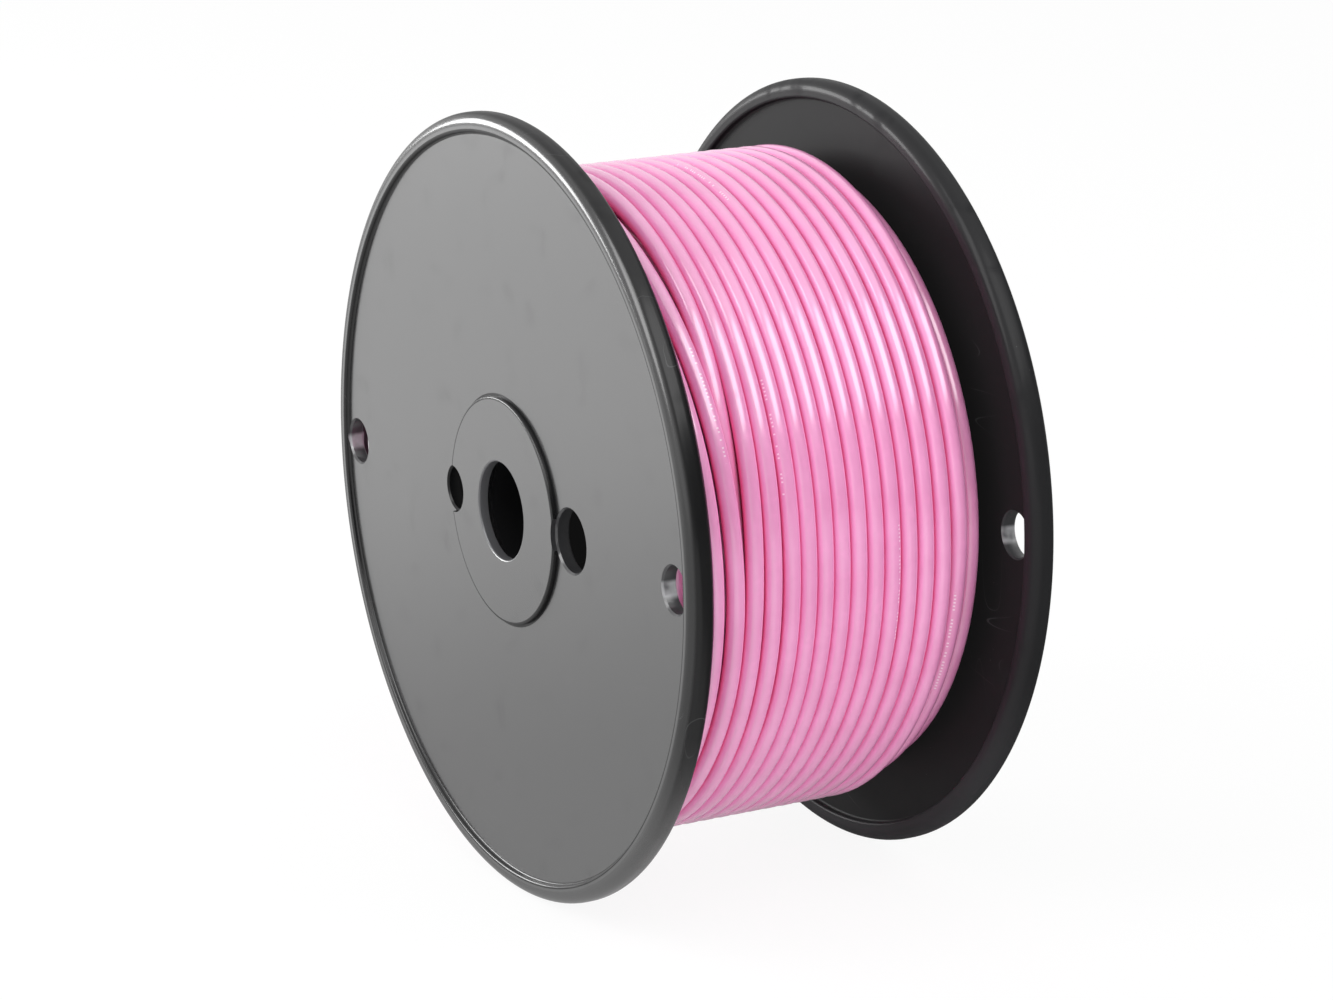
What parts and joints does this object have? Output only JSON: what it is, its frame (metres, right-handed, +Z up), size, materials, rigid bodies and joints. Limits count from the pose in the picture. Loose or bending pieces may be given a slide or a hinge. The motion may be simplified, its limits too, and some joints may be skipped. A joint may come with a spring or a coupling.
{
  "type": "wire spool",
  "caption": "Round flanged plastic reel wound with insulated hook-up wire, with a plain central bore for a spindle.",
  "frame": {"origin": "centre of the reel, on the axis of the arbor bore and midway between the two flanges", "axes": "+Y along the reel's axis, from the front flange to the rear flange; +X from the axis to the drive holes; +Z up as the reel stands on its rims"},
  "size_m": [0.127, 0.064, 0.127],
  "materials": {
    "black_plastic": "semi-gloss moulded black",
    "wire_insulation": "smooth pink insulation, slightly glossy",
    "copper": "bright drawn copper strands"
  },
  "bodies": {
    "root": {"front_flange": "black_plastic", "rear_flange": "black_plastic", "barrel": "black_plastic", "arbor_tube": "black_plastic", "wire_lower_layers": "wire_insulation", "wire_top_layer": "wire_insulation", "wire_start_end": "wire_insulation", "conductor_ends": "copper"}
  },
  "joints": []
}
